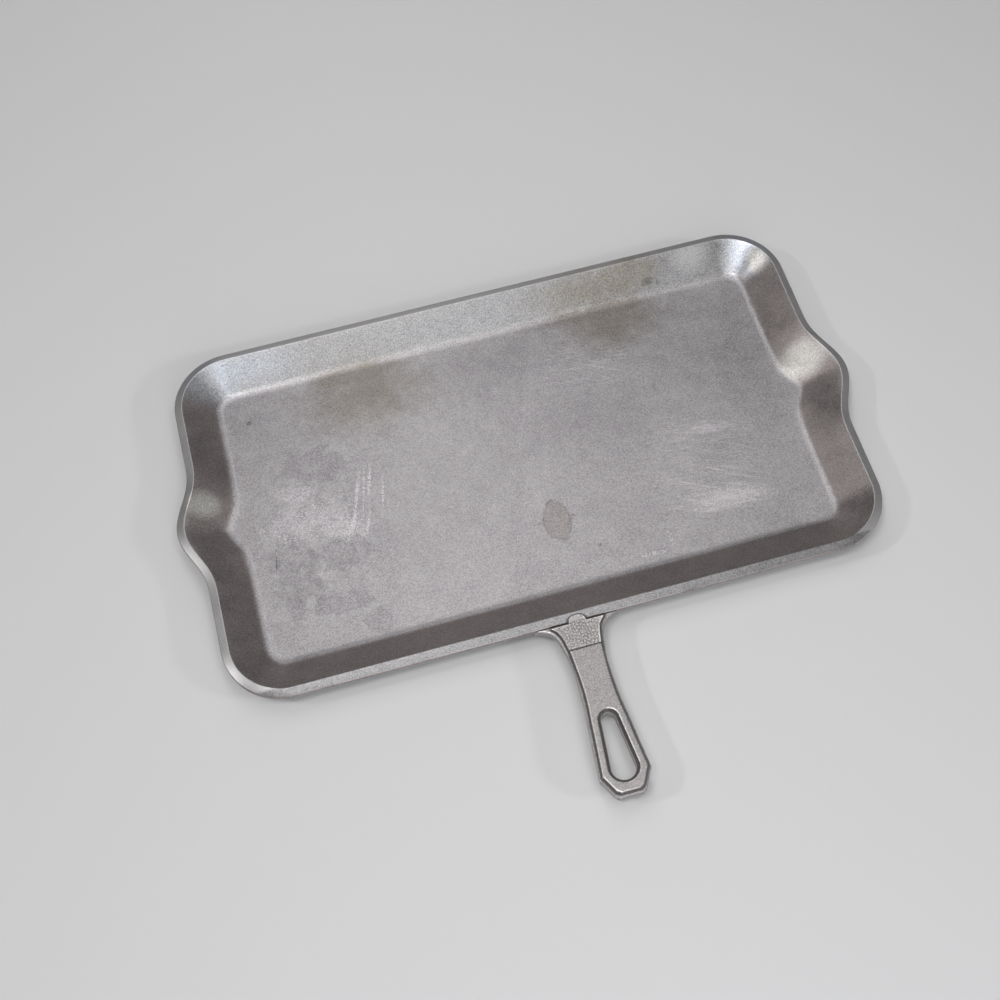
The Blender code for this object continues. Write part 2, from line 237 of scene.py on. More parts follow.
def tray_tree():
    """Bends a grid round the tray: its columns go along the rim, its rows along the section."""
    tree, given, result = geometry_tree("cast_tray", {
        "Section": "Object", "Half Length": "Float", "Half Width": "Float",
        "Corner Radius": "Float", "Corner Steps": "Int", "Columns": "Int", "Rows": "Int",
        "Rim Width": "Float", "Flat Inset": "Float", "Spout Reach": "Float",
        "Spout Half Width": "Float", "Spout Power": "Float", "Crease Reach": "Float",
        "Crease Half Width": "Float", "Crease Power": "Float", "Crease Softness": "Float",
        "Edge Inset": "Float", "Edge Height": "Float", "Wear Width": "Float",
        "Waviness": "Float", "Wave Length": "Float", "Weld": "Float", "Material": "Material",
    })
    rectangle = add(tree, "GeometryNodeCurvePrimitiveQuadrilateral", {
        "Width": maths(tree, "MULTIPLY", given["Half Length"], 2),
        "Height": maths(tree, "MULTIPLY", given["Half Width"], 2),
    })
    rim = add(tree, "GeometryNodeFilletCurve", {
        "Curve": rectangle, "Radius": given["Corner Radius"], "Count": given["Corner Steps"],
    }, mode="POLY")

    grid = add(tree, "GeometryNodeMeshGrid", {
        "Size X": 1, "Size Y": 1,
        "Vertices X": maths(tree, "ADD", given["Columns"], 1), "Vertices Y": given["Rows"],
    })
    index = add(tree, "GeometryNodeInputIndex").outputs[0]
    column = maths(tree, "FLOOR", maths(tree, "DIVIDE", maths(tree, "ADD", index, 0.5),
                                        given["Rows"]))
    row = maths(tree, "SUBTRACT", index, maths(tree, "MULTIPLY", column, given["Rows"]))

    lead = maths(tree, "DIVIDE",
                 maths(tree, "SUBTRACT", given["Half Width"], given["Corner Radius"]),
                 add(tree, "GeometryNodeCurveLength", {"Curve": rim}))
    factor = maths(tree, "SUBTRACT", maths(tree, "DIVIDE", column, given["Columns"]), lead)
    along = add(tree, "GeometryNodeSampleCurve", {
        "Curves": rim, "Factor": maths(tree, "FRACT", factor),
    }, mode="FACTOR")
    rim_x, rim_y, _ = add(tree, "ShaderNodeSeparateXYZ", {0: along.outputs["Position"]}).outputs
    turned = add(tree, "ShaderNodeVectorRotate", {
        "Vector": along.outputs["Tangent"], "Angle": math.pi / 2,
    }, rotation_type="Z_AXIS").outputs[0]

    profile = add(tree, "GeometryNodeObjectInfo", {"Object": given["Section"]})
    at_row = add(tree, "GeometryNodeSampleIndex", {
        "Geometry": profile.outputs["Geometry"],
        "Value": add(tree, "GeometryNodeInputPosition"), "Index": row,
    }, data_type="FLOAT_VECTOR", domain="POINT")
    inset, draw_in, height = add(tree, "ShaderNodeSeparateXYZ", {0: at_row}).outputs
    depth = add(tree, "ShaderNodeMapRange", {
        "Value": inset, "From Min": given["Rim Width"], "From Max": given["Flat Inset"],
    }).outputs[0]

    off_middle = maths(tree, "ABSOLUTE", rim_y)
    share = maths(tree, "DIVIDE", off_middle, given["Spout Half Width"], clamp=True)
    wave = maths(tree, "COSINE", maths(tree, "MULTIPLY", share, math.pi))
    swell = maths(tree, "POWER", maths(tree, "MULTIPLY_ADD", wave, 0.5, 0.5),
                  given["Spout Power"])
    at_rim = maths(tree, "MULTIPLY", swell, given["Spout Reach"])

    share = maths(tree, "DIVIDE", off_middle, given["Crease Half Width"], clamp=True)
    soft = given["Crease Softness"]

    def rounded_tent(across):
        square = maths(tree, "MULTIPLY_ADD", across, across, maths(tree, "MULTIPLY", soft, soft))
        return maths(tree, "SUBTRACT", maths(tree, "SQRT", square), soft)

    tent = maths(tree, "SUBTRACT", 1,
                 maths(tree, "DIVIDE", rounded_tent(share), rounded_tent(1)), clamp=True)
    at_floor = maths(tree, "MULTIPLY", maths(tree, "POWER", tent, given["Crease Power"]),
                     given["Crease Reach"])
    reach = add(tree, "ShaderNodeMix", {0: depth, 2: at_rim, 3: at_floor}).outputs[0]
    outwards = maths(tree, "MULTIPLY", reach, maths(tree, "SIGN", rim_x))

    spot = vectors(tree, "ADD", along.outputs["Position"],
                   vectors(tree, "SCALE", turned, inset))
    spot = vectors(tree, "ADD", spot,
                   add(tree, "ShaderNodeCombineXYZ", {"X": outwards, "Z": height}))
    spot_x, _, spot_z = add(tree, "ShaderNodeSeparateXYZ", {0: spot}).outputs
    line_end = maths(tree, "SUBTRACT", given["Half Length"], given["Half Width"])
    on_line = add(tree, "ShaderNodeClamp", {
        "Value": spot_x, "Min": maths(tree, "MULTIPLY", line_end, -1), "Max": line_end,
    })
    middle = add(tree, "ShaderNodeCombineXYZ", {"X": on_line, "Z": spot_z})
    spot = add(tree, "ShaderNodeMix", {0: draw_in, 4: spot, 5: middle},
               data_type="VECTOR").outputs[1]

    off_edge = add(tree, "ShaderNodeCombineXYZ", {
        "X": maths(tree, "SUBTRACT", inset, given["Edge Inset"]),
        "Z": maths(tree, "SUBTRACT", height, given["Edge Height"]),
    })
    off_edge = add(tree, "ShaderNodeVectorMath", {0: off_edge}, operation="LENGTH")
    worn = fade(tree, off_edge.outputs["Value"], given["Wear Width"], 0)
    shape = stored(tree, grid, "worn", worn)
    shape = add(tree, "GeometryNodeSetPosition", {"Geometry": shape, "Position": spot})
    shape = add(tree, "GeometryNodeMergeByDistance", {
        "Geometry": shape, "Distance": given["Weld"],
    })
    bumps = add(tree, "ShaderNodeTexNoise", {
        "Scale": maths(tree, "DIVIDE", 1, given["Wave Length"]), "Detail": 2,
    })
    sink = maths(tree, "MULTIPLY", bumps.outputs["Fac"], given["Waviness"])
    sink = maths(tree, "MULTIPLY", sink, -1)
    shape = add(tree, "GeometryNodeSetPosition", {
        "Geometry": shape,
        "Offset": vectors(tree, "SCALE", add(tree, "GeometryNodeInputNormal"), sink),
    })
    finish_tree(tree, shape, given["Material"], result)
    return tree


def section_guide(points):
    """The section as an object that the tree can read."""
    mesh = bpy.data.meshes.new("tray_section")
    mesh.from_pydata(points, [(k, k + 1) for k in range(len(points) - 1)], [])
    return new_object("tray_section", mesh)


def noise(tree, place, size, detail=2):
    """A noise from 0 to 1, with patches of about the given size."""
    return add(tree, "ShaderNodeTexNoise", {
        "Vector": place, "Scale": 1 / size, "Detail": detail, "Roughness": 0.6,
    }).outputs[0]


def varied(tree, level, patterns):
    """A level raised and lowered by patterns that lie between 0 and 1."""
    for pattern, amount in patterns:
        swing = maths(tree, "SUBTRACT", pattern, 0.5)
        level = maths(tree, "MULTIPLY_ADD", swing, amount, level)
    return level


def seen_from_mark(tree, place, x, y, length, width, turn=0):
    """The place as a mark measures it, along and across itself, in its own half sizes (mm)."""
    return add(tree, "ShaderNodeMapping", {
        "Vector": place, "Location": (x * MM, y * MM, 0),
        "Rotation": (0, 0, math.radians(turn)), "Scale": (length * MM, width * MM, 1),
    }, vector_type="TEXTURE").outputs[0]


def off_mark(tree, place, mark):
    """The distance from an oval mark's middle: 1 on its edge."""
    own = seen_from_mark(tree, place, *mark)
    return add(tree, "ShaderNodeVectorMath", {0: own}, operation="LENGTH").outputs["Value"]


def all_marks(tree, place, marks, sharp, ragged=0, amount=0):
    """Oval marks with soft or ragged edges, added up. sharp is where the edge starts."""
    total = 0
    for mark in marks:
        off = off_mark(tree, place, mark)
        if amount:
            off = varied(tree, off, [(ragged, amount)])
        total = maths(tree, "ADD", total, fade(tree, off, 1, sharp))
    return total


def streaks(tree, place, length, width, turn, fineness, seed):
    """Thin lines that run one way: where a long drawn-out noise crosses its middle level."""
    own = seen_from_mark(tree, place, seed, seed, length, width, turn)
    level = maths(tree, "SUBTRACT", noise(tree, own, 1, 1), 0.5)
    return fade(tree, maths(tree, "ABSOLUTE", level), fineness, 0)


def blended(tree, under, over, share):
    """One colour over another by a share."""
    return add(tree, "ShaderNodeMix", {0: share, 6: under, 7: over},
               data_type="RGBA").outputs[2]


def times(tree, *factors):
    total = factors[0]
    for factor in factors[1:]:
        total = maths(tree, "MULTIPLY", total, factor)
    return total


def lifted(tree, level, mask, amount):
    """A level raised by an amount where a mask is 1, or lowered where the amount is negative."""
    return maths(tree, "MULTIPLY_ADD", mask, amount, level)


def attribute(tree, name):
    """A number kept on the mesh's points."""
    return add(tree, "ShaderNodeAttribute", attribute_name=name).outputs["Fac"]


def new_finish(name, metallic):
    """A material, its node tree and its shader."""
    made = bpy.data.materials.new(name)
    made.use_nodes = True
    shader = made.node_tree.nodes["Principled BSDF"]
    shader.inputs["Metallic"].default_value = metallic
    return made, made.node_tree, shader


# Below this the highlights turn glassy, which cast metal's never are.
LEAST_ROUGHNESS = 0.28


def finish_metal(tree, shader, colour, level, gloss, relief, strength, depth):
    """Gives the shader a colour times a level, a roughness, and a fine relief as bumps."""
    feed(tree, shader.inputs["Base Color"], vectors(tree, "SCALE", colour, level))
    feed(tree, shader.inputs["Roughness"], maths(tree, "MAXIMUM", gloss, LEAST_ROUGHNESS))
    feed(tree, shader.inputs["Normal"], add(tree, "ShaderNodeBump", {
        "Height": relief, "Strength": strength, "Distance": depth,
    }))


TRAY_METALLIC = 0.72
DARKEST_LEVEL = 0.3
BRIGHTEST_LEVEL = 1.6
GRAIN_SIZE = 0.95 * MM
PIT_SIZE = 1.5 * MM
SPECKLE_SIZE = 2 * MM
CLUMP_SIZE = 7 * MM
MOTTLE_SIZE = 11 * MM
CLOUD_SIZE = 70 * MM

# A mark on the tray is an oval: (x, y, half length, half width, turn), in mm and degrees.
ROUGH_PATCH = [(-140, -15, 60, 85)]
BLOTCHES = [
    (-134, 32, 23, 15), (-160, -40, 19, 29), (-127, -36, 18, 13), (-137, -70, 24, 8),
    (-118, -88, 10, 10),
]
# Patches where the colour is darker: on the far and right floor, at the left end and on the far
# right wall.
DARKER_PATCHES = [(10, 76, 100, 34), (170, 40, 40, 60), (-210, -20, 20, 60), (184, 117, 11, 14)]
# Painted shade in the near right corner and low on the right spout's wall; the last two marks
# are stains on the far wall.
WALL_SHADE_AND_STAINS = [(204, -112, 26, 28), (209, -19, 15, 18), (125, 109, 6, 4), (131, 107, 3, 3)]
RING = (11, -52, 9.6, 15.5)
DARK_SPOTS = [
    (-170, 77, 2.4, 2.2), (32.5, -76.5, 1.9, 1.6), (-172, -32, 7.5, 0.7, 80),
    (-145, -72, 3.4, 0.6, 80), (-2, -51, 4, 0.8, 10), (22, -51, 4, 0.8, -10),
]
LIGHT_PATCHES = [
    (-146, -8, 40, 22, 5), (-122, -18, 22, 18), (128, -66, 36, 12, -8), (-150, 14, 20, 14),
]
SCUFFS = [
    (-112.6, -2, 29, 1.8, 73), (-101, 10, 19, 1.4, 75), (-108, -19, 15, 1.4, 70),
    (-94, 0, 16, 1.2, 78), (-119, -18, 16, 2, 65), (-106, 4, 24, 1, 77),
]
SCRATCHED_PATCHES = [
    (119, -66, 44, 9, -6), (126, -15, 44, 13, -5), (115, -40, 70, 50), (60, 60, 60, 40),
]
SMEARS = [(126, -67, 28, 6, -5), (112, -72, 22, 4, -8), (128, -14, 30, 5, -4)]
CHIPS = [(78, -83, 1.6, 8), (65, -92, 12, 1.6)]
# A brighter patch painted on the far wall: a painted reflection.
WALL_REFLECTION_PATCH = [(158, 118, 19, 15)]
TAB_SEAM = (1.5, -127.8, 6.3, 3.7)
STAINS = [
    (-88, 77, 64, 42), (90, 84, 52, 27), (112, 116, 34, 15), (80, 112, 60, 16),
    (85, 97, 64, 8), (-92, 96, 46, 9),
]
# Painted highlights: cool in the far corners, warm on the spouts and in the far right corner.
COOL_CORNER_HIGHLIGHT = [(198, 108, 23, 24)]
DIM_CORNER_HIGHLIGHT = [(-188, 112, 30, 24), (-158, 115, 38, 15)]
WARM_HIGHLIGHTS = [(204, 16, 20, 17), (-209, 19, 14, 13), (202, 100, 9, 12)]

WALL_METAL = (0.283, 0.251, 0.246, 1)
# The far wall and the rim are painted in this paler colour, a painted sheen.
PALE_SHEEN_METAL = (0.29, 0.283, 0.284, 1)
FLOOR_METAL = (0.388, 0.37, 0.381, 1)
OUTSIDE_METAL = (0.6, 0.59, 0.58, 1)
UNDERSIDE_METAL = (0.4, 0.387, 0.38, 1)
# The next two colours are painted highlights, cool and warm.
COOL_HIGHLIGHT_METAL = (0.35, 0.365, 0.4, 1)
WARM_HIGHLIGHT_METAL = (0.6, 0.58, 0.555, 1)
BURNT_OIL = (0.215, 0.19, 0.15, 1)
RING_STAIN = (0.3, 0.27, 0.25, 1)


class Surface:
    """What the tray's finish is drawn from: the place on it, masks and noises from 0 to 1."""

    def __init__(self, tree):
        self.tree = tree
        self.place = add(tree, "ShaderNodeTexCoord").outputs["Object"]
        self.facing = add(tree, "ShaderNodeSeparateXYZ", {
            0: add(tree, "ShaderNodeNewGeometry").outputs["Normal"],
        }).outputs[2]
        _, self.across, height = add(tree, "ShaderNodeSeparateXYZ", {0: self.place}).outputs
        self.grain = noise(tree, self.place, GRAIN_SIZE)
        self.speckle = noise(tree, self.place, SPECKLE_SIZE, 3)
        self.mottle = noise(tree, self.place, MOTTLE_SIZE, 5)
        self.cloud = noise(tree, self.place, CLOUD_SIZE, 3)
        self.on_top = fade(tree, self.facing, 0.1, 0.4)
        self.on_floor = times(tree, self.on_top, fade(
            tree, height, FLOOR_THICKNESS + 1.2 * MM, FLOOR_THICKNESS + 0.4 * MM))
        self.far_wall = fade(tree, self.across, HALF_WIDTH - 34 * MM, HALF_WIDTH - 24 * MM)
        self.on_rim = times(tree, fade(tree, self.facing, 0.86, 0.91),
                            fade(tree, height, RIM_HEIGHT - 1.2 * MM, RIM_HEIGHT))
        self.worn = times(tree, attribute(tree, "worn"), fade(tree, self.mottle, 0.3, 0.55))
        self.off_ring = varied(tree, off_mark(tree, self.place, RING),
                               [(self.speckle, 0.5), (self.mottle, 0.3)])
        self.in_ring = times(tree, self.on_floor, fade(tree, self.off_ring, 1.05, 0.9))

    def marks(self, ovals, sharp, ragged=0, amount=0):
        return all_marks(self.tree, self.place, ovals, sharp, ragged, amount)


def as_cast(tree, at):
    """How bright the metal is as the sand left it: a fine grain, pits, clumps and clouds."""
    grain_amount = maths(tree, "MULTIPLY_ADD", at.far_wall, 0.5, 1.4)
    level = varied(tree, 1, [(at.grain, grain_amount), (at.speckle, 0.2), (at.mottle, 0.42),
                             (at.cloud, 0.35)])
    pits = fade(tree, noise(tree, at.place, PIT_SIZE), 0.38, 0.27)
    level = lifted(tree, level, times(tree, at.on_floor, pits), -0.3)
    clumps = maths(tree, "SUBTRACT", noise(tree, at.place, CLUMP_SIZE, 4), 0.5)
    return lifted(tree, level, times(tree, at.on_floor, at.marks(ROUGH_PATCH, 0.3), clumps), 0.8)


def darkened(tree, at, level):
    """Blotches, darker patches, painted shade on the walls with two stains on the far wall, the
    ring left by something set down, and dark spots.
    """
    blotches = times(tree, at.on_floor, fade(tree, at.mottle, 0.32, 0.42),
                     at.marks(BLOTCHES, 0.8, at.mottle, 1.3))
    darker_patches = times(tree, at.on_top, at.marks(DARKER_PATCHES, 0, at.mottle, 0.4))
    # Painted shade on the walls, with two small stains.
    wall_shade_and_stains = times(tree, at.marks(WALL_SHADE_AND_STAINS, 0.2, at.mottle, 0.3), fade(tree, at.facing, 0.9, 0.86))
    ring_edge = times(tree, at.in_ring, fade(tree, at.off_ring, 0.78, 0.92))
    spots = times(tree, at.on_floor, at.marks(DARK_SPOTS, 0.4, at.grain, 0.8))
    for dark, amount in ((blotches, 0.14), (darker_patches, 0.13), (wall_shade_and_stains, 0.3), (at.in_ring, 0.07),
                         (ring_edge, 0.18), (spots, 0.34)):
        level = lifted(tree, level, dark, -amount)
    return level


def brightened(tree, at, level):
    """Light patches that sparkle, beaded scuffs, fine scratches, smears, chips, and a painted
    reflection on the far wall.
    """
    patches = times(tree, at.on_floor, at.marks(LIGHT_PATCHES, 0, at.mottle, 1.2))
    sparkle = times(tree, patches, fade(tree, at.grain, 0.5, 0.68))
    scuffs = times(tree, at.on_floor, at.marks(SCUFFS, 0, at.mottle, 1.2),
                   fade(tree, at.grain, 0.4, 0.55))
    lines = maths(tree, "ADD", streaks(tree, at.place, 60, 1.3, -5, 0.022, 53),
                  streaks(tree, at.place, 70, 2.2, -27, 0.016, 17))
    scratches = times(tree, at.on_floor, at.marks(SCRATCHED_PATCHES, 0.1, at.mottle, 1.2), lines)
    smears = times(tree, at.on_floor, at.marks(SMEARS, 0, at.speckle, 1.4),
                   streaks(tree, at.place, 14, 0.7, -12, 0.12, 71))
    chips = times(tree, at.on_floor, fade(tree, at.grain, 0.5, 0.62), at.marks(CHIPS, 0.5))
    # Painted reflection on the far wall.
    wall_reflection = times(tree, at.on_top, at.marks(WALL_REFLECTION_PATCH, 0.2, at.mottle, 0.5))
    for bright, amount in ((patches, 0.2), (sparkle, 0.6), (scuffs, 0.9), (scratches, 0.4),
                           (smears, 0.6), (chips, 0.6), (wall_reflection, 0.42)):
        level = lifted(tree, level, bright, amount)
    return level


def with_rim_and_seam(tree, at, level):
    """The rim is painted paler, a painted sheen, but not on its near side, which the lamps
    light; its edge is rubbed bright, and a dark line runs round the handle's tab."""
    near = fade(tree, at.across, -HALF_WIDTH + 9 * MM, -HALF_WIDTH + 6 * MM)
    off_seam = maths(tree, "ABSOLUTE", maths(tree, "SUBTRACT",
                                             off_mark(tree, at.place, TAB_SEAM), 1))
    seam = times(tree, at.on_top, fade(tree, off_seam, 0.16, 0.05))
    level = lifted(tree, level, at.worn, 0.8)
    # Painted sheen on the rim, taken back off its near side.
    level = lifted(tree, level, at.on_rim, 0.65)
    level = lifted(tree, level, times(tree, at.on_rim, near), -0.92)
    return lifted(tree, level, seam, -0.6)


def painted_highlights(tree, at):
    """Painted highlights: cool ones in the far corners, warm ones on the spouts and a small one
    in the far right corner.
    """
    dim = times(tree, at.marks(DIM_CORNER_HIGHLIGHT, 0.2, at.mottle, 0.5), 0.5)
    cool_highlight = maths(tree, "ADD", at.marks(COOL_CORNER_HIGHLIGHT, 0.2, at.mottle, 0.5), dim)
    warm_highlight = at.marks(WARM_HIGHLIGHTS, 0.3, at.mottle, 0.4)
    return times(tree, at.on_top, cool_highlight), times(tree, at.on_top, warm_highlight)


def tray_colour(tree, at, cool_highlight, warm_highlight):
    """The metal's colour by place, with a painted sheen on the far wall and the rim, painted
    highlights in the far corners and on the spouts, and burnt oil over it.
    """
    oil = maths(tree, "MINIMUM",
                times(tree, at.on_top, at.marks(STAINS, 0, at.mottle, 0.7)), 0.9)
    colour = WALL_METAL
    for over, share in (
        (PALE_SHEEN_METAL, maths(tree, "MAXIMUM", at.far_wall, at.on_rim)),
        (FLOOR_METAL, at.on_floor),
        (OUTSIDE_METAL, fade(tree, at.facing, 0.05, -0.2)),
        (UNDERSIDE_METAL, fade(tree, at.facing, -0.88, -0.96)),
        (COOL_HIGHLIGHT_METAL, cool_highlight),
        (WARM_HIGHLIGHT_METAL, warm_highlight),
        (BURNT_OIL, times(tree, oil, 0.7)),
        (RING_STAIN, times(tree, at.in_ring, 0.5)),
    ):
        colour = blended(tree, colour, over, share)
    return colour


def tray_metal():
    """Cast aluminium gone satin with use: a fine grain, clouds, burnt oil and scratches."""
    made, tree, shader = new_finish("satin_cast_aluminium", TRAY_METALLIC)
    at = Surface(tree)
    level = darkened(tree, at, as_cast(tree, at))
    level = with_rim_and_seam(tree, at, brightened(tree, at, level))
    level = maths(tree, "MINIMUM", level, BRIGHTEST_LEVEL)
    level = maths(tree, "MAXIMUM", level, DARKEST_LEVEL)
    cool_highlight, warm_highlight = painted_highlights(tree, at)
    gloss = varied(tree, 0.4, [(at.grain, 0.14), (at.mottle, 0.16), (at.cloud, 0.1)])
    gloss = lifted(tree, gloss, maths(tree, "ADD", cool_highlight, warm_highlight, clamp=True), -0.1)
    gloss = lifted(tree, gloss, at.worn, -0.12)
    finish_metal(tree, shader, tray_colour(tree, at, cool_highlight, warm_highlight), level, gloss,
                 varied(tree, at.grain, [(at.speckle, 0.8)]), 0.25, 0.15 * MM)
    return made


section_points = tray_section()
section = section_guide(section_points)
tray = grown(new_object("tray", bpy.data.meshes.new("tray")), tray_tree(), {
    "Section": section,
    "Half Length": HALF_LENGTH,
    "Half Width": HALF_WIDTH,
    "Corner Radius": CORNER_RADIUS,
    "Corner Steps": CORNER_STEPS,
    "Columns": POINTS_AROUND,
    "Rows": len(section_points),
    "Rim Width": RIM_WIDTH,
    "Flat Inset": FLAT_INSET,
    "Spout Reach": SPOUT_REACH,
    "Spout Half Width": SPOUT_HALF_WIDTH,
    "Spout Power": SPOUT_POWER,
    "Crease Reach": CREASE_REACH,
    "Crease Half Width": CREASE_HALF_WIDTH,
    "Crease Power": CREASE_POWER,
    "Crease Softness": CREASE_SOFTNESS,
    "Edge Inset": WORN_EDGE_INSET,
    "Edge Height": RIM_HEIGHT - WORN_EDGE_DROP,
    "Wear Width": WEAR_WIDTH,
    "Waviness": WAVINESS,
    "Wave Length": WAVE_LENGTH,
    "Weld": WELD,
    "Material": tray_metal(),
})
bpy.data.objects.remove(section)
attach(tray, "root")
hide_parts("pan")

# The handle
# A flat grip cast with the tray: a narrow raised face on a wider flange, with a pebbled panel
# at the root, a cross groove, and a long tapered hole for a hook.
_, handle_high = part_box("handle")

SKIN_STEP = 0.35 * MM
SOFTENING = 0.5
SOFTENING_ROUNDS = 3
HOLLOW_DEPTH = 0.3 * MM
HOLLOW_BLUR = 10
PANEL_BLUR = 4
GROOVE_Y = -146.5 * MM
PARTING_Z = 17.4 * MM
PEBBLE_GAP = 2.1 * MM
PEBBLE_RADIUS = 1.5 * MM
PEBBLE_RISE = 0.42 * MM
PEBBLE_SQUASH = 0.8
SMALLEST_PEBBLE = 0.7
PEBBLES_PER_M2 = 9e6
PEBBLE_SEED = 5
PANEL_SINK = 0.36 * MM


def softened(name, source):
    """A copy of a CAD node as one even skin, with its edges rounded as by the casting sand."""
    mesh = source.data.copy()
    work = bmesh.new()
    work.from_mesh(mesh)
    bmesh.ops.remove_doubles(work, verts=work.verts, dist=WELD)
    work.to_mesh(mesh)
    work.free()
    copy = new_object(name, mesh)
    skin = copy.modifiers.new("skin", "REMESH")
    skin.mode = "VOXEL"
    skin.voxel_size = SKIN_STEP
    smooth = copy.modifiers.new("soften", "SMOOTH")
    smooth.factor = SOFTENING
    smooth.iterations = SOFTENING_ROUNDS
    return copy


def grip_tree():
    """Sinks the panel's ground and covers it with cast pebbles, and keeps on each point of the
    skin how far it lies in a hollow (above 0) or out on an edge (below 0)."""
    tree, given, result = geometry_tree("cast_grip", {
        "Geometry": "Geometry", "Top": "Float", "Panel End": "Float", "Panel Sink": "Float",
        "Pebble Gap": "Float", "Pebble Radius": "Float", "Pebble Rise": "Float",
        "Pebble Squash": "Float", "Smallest Pebble": "Float", "Pebbles Per Area": "Float",
        "Panel Blur": "Int", "Hollow Blur": "Int", "Hollow Depth": "Float", "Seed": "Int",
        "Material": "Material",
    })
    position = add(tree, "GeometryNodeInputPosition").outputs[0]
    normal = add(tree, "GeometryNodeInputNormal").outputs[0]
    _, y, z = add(tree, "ShaderNodeSeparateXYZ", {0: position}).outputs
    _, _, up = add(tree, "ShaderNodeSeparateXYZ", {0: normal}).outputs
    near_top = maths(tree, "GREATER_THAN", z,
                     maths(tree, "SUBTRACT", given["Top"], given["Panel Sink"]))
    on_panel = times(tree, maths(tree, "GREATER_THAN", y, given["Panel End"]), near_top,
                     maths(tree, "GREATER_THAN", up, 0.9))
    inner = add(tree, "GeometryNodeBlurAttribute", {
        "Value": on_panel, "Iterations": given["Panel Blur"],
    }, data_type="FLOAT").outputs[0]
    shape = stored(tree, given["Geometry"], "panel", inner)
    evened = add(tree, "GeometryNodeBlurAttribute", {"Iterations": given["Hollow Blur"]},
                 data_type="FLOAT_VECTOR")
    tree.links.new(position, evened.inputs["Value"])
    offset = vectors(tree, "SUBTRACT", evened.outputs[0], position)
    depth = add(tree, "ShaderNodeVectorMath", {0: offset, 1: normal},
                operation="DOT_PRODUCT").outputs["Value"]
    shape = stored(tree, shape, "hollow", maths(tree, "DIVIDE", depth, given["Hollow Depth"]))

    inner = add(tree, "GeometryNodeInputNamedAttribute", {"Name": "panel"},
                data_type="FLOAT").outputs[0]
    sink = maths(tree, "MULTIPLY", fade(tree, inner, 0.15, 0.85), given["Panel Sink"])
    shape = add(tree, "GeometryNodeSetPosition", {
        "Geometry": shape,
        "Offset": add(tree, "ShaderNodeCombineXYZ", {"Z": maths(tree, "MULTIPLY", sink, -1)}),
    })
    seeds = add(tree, "GeometryNodeDistributePointsOnFaces", {
        "Mesh": shape, "Selection": maths(tree, "GREATER_THAN", inner, 0.45),
        "Distance Min": given["Pebble Gap"], "Density Max": given["Pebbles Per Area"],
        "Seed": given["Seed"],
    }, distribute_method="POISSON")
    pebble = add(tree, "GeometryNodeMeshIcoSphere", {"Radius": 1, "Subdivisions": 2})
    size = add(tree, "ShaderNodeCombineXYZ", {
        "X": given["Pebble Radius"], "Z": given["Pebble Rise"],
        "Y": maths(tree, "MULTIPLY", given["Pebble Radius"], given["Pebble Squash"]),
    })
    shrink = add(tree, "FunctionNodeRandomValue", {
        2: given["Smallest Pebble"], 3: 1.0, "Seed": given["Seed"],
    }, data_type="FLOAT")
    turn = add(tree, "FunctionNodeRandomValue", {2: 0.0, 3: math.tau, "Seed": given["Seed"]},
               data_type="FLOAT")
    pebbles = add(tree, "GeometryNodeInstanceOnPoints", {
        "Points": seeds, "Instance": pebble,
        "Rotation": add(tree, "ShaderNodeCombineXYZ", {"Z": turn.outputs[1]}),
        "Scale": vectors(tree, "SCALE", size, shrink.outputs[1]),
    })
    pebbles = add(tree, "GeometryNodeRealizeInstances", {"Geometry": pebbles})
    pebbles = stored(tree, pebbles, "panel", 1)
    pebbles = stored(tree, pebbles, "hollow", -0.2)
    joined = tree.nodes.new("GeometryNodeJoinGeometry")
    tree.links.new(pebbles, joined.inputs[0])
    tree.links.new(shape.outputs[0], joined.inputs[0])
    x, y, z = add(tree, "ShaderNodeSeparateXYZ", {0: position}).outputs
    under_top = add(tree, "ShaderNodeCombineXYZ", {
        "X": x, "Y": y, "Z": maths(tree, "MINIMUM", z, given["Top"]),
    })
    whole = add(tree, "GeometryNodeSetPosition", {"Geometry": joined, "Position": under_top})
    finish_tree(tree, whole, given["Material"], result)
    return tree


GRIP_METALLIC = 0.6
SAND_SIZE = 0.7 * MM
SAND_SPECKLE_SIZE = 2.2 * MM
SAND_PATCH_SIZE = 14 * MM
GRIP_METAL = (0.336, 0.318, 0.316, 1)
# Near-black for old grease in the hollows and for the painted shade on the sloping sides.
DARK_GREASE_AND_SHADE = (0.09, 0.08, 0.074, 1)


